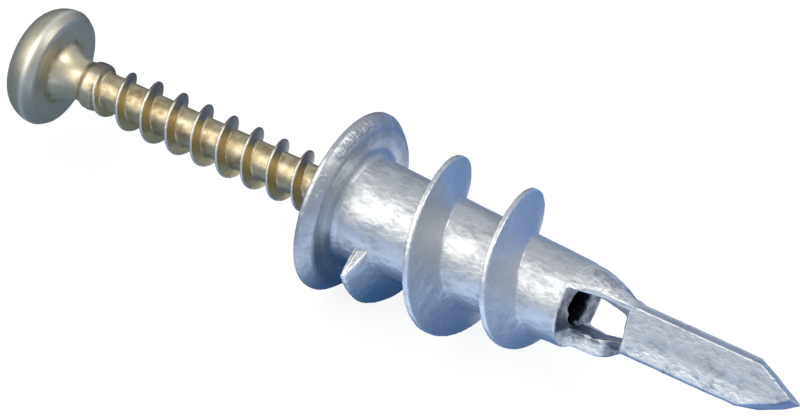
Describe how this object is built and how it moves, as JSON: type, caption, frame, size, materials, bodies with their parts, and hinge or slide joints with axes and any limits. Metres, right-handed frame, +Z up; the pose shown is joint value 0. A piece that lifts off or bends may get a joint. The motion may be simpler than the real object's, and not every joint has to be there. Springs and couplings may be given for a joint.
{
  "type": "metal plasterboard anchor",
  "caption": "Self-drilling metal anchor for plasterboard: flange, deep coarse thread and flat drill blade, with a yellow pan head screw part way into its bore.",
  "frame": {"origin": "centre of the flange's bearing face, the face that is drawn up against the board", "axes": "+X along the shared axis towards the drill point, the way the anchor goes into the board; +Z up as the part lies on a table"},
  "size_m": [0.0688, 0.0142, 0.0142],
  "materials": {
    "casting": "satin",
    "screw": "satin"
  },
  "bodies": {
    "anchor": {"anchor": "casting"},
    "screw": {"screw": "screw"}
  },
  "joints": [
    {"name": "screw_travel", "type": "slide", "parent": "anchor", "child": "screw", "axis": [1, 0, 0], "range_m": [-0.01, 0.012]}
  ]
}
